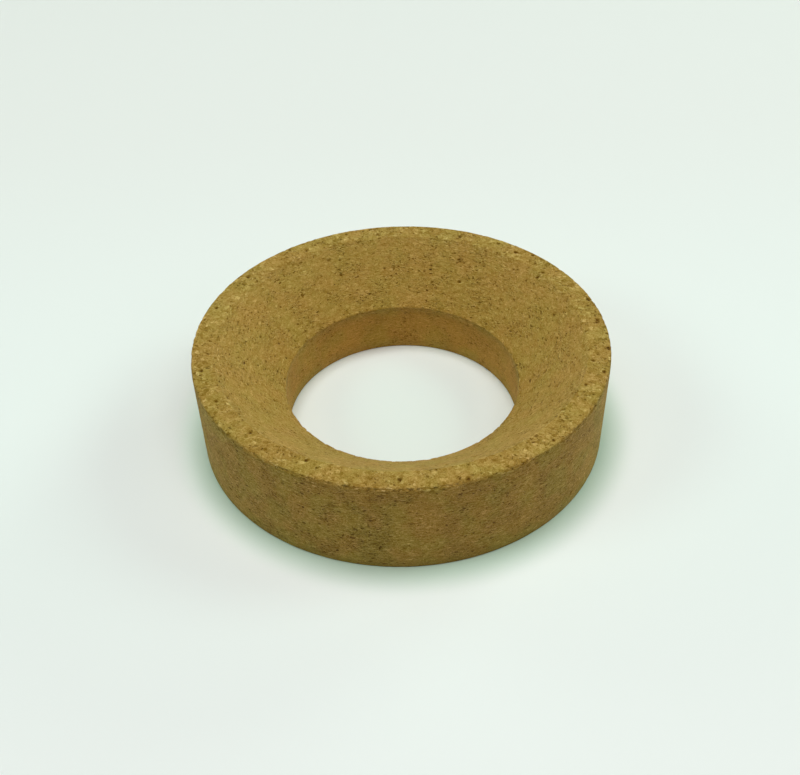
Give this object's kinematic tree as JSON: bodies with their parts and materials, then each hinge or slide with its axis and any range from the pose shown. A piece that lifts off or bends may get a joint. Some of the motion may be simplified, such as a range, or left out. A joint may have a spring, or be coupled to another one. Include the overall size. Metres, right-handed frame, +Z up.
{
  "type": "cork ring",
  "caption": "Flat-bottomed pressed-cork ring with a straight bore and a sloping seat that holds a round-bottomed flask upright.",
  "frame": {"origin": "centre of the flat base, on the surface that the ring stands on", "axes": "+Z up along the ring's axis; the ring is the same all the way round, so X and Y are free"},
  "size_m": [0.12, 0.12, 0.03],
  "materials": {
    "cork": "bare pressed cork, matt, fine-grained on the bore and seat and coarse on the rim"
  },
  "bodies": {
    "root": {"cork_ring": "cork"}
  },
  "joints": []
}
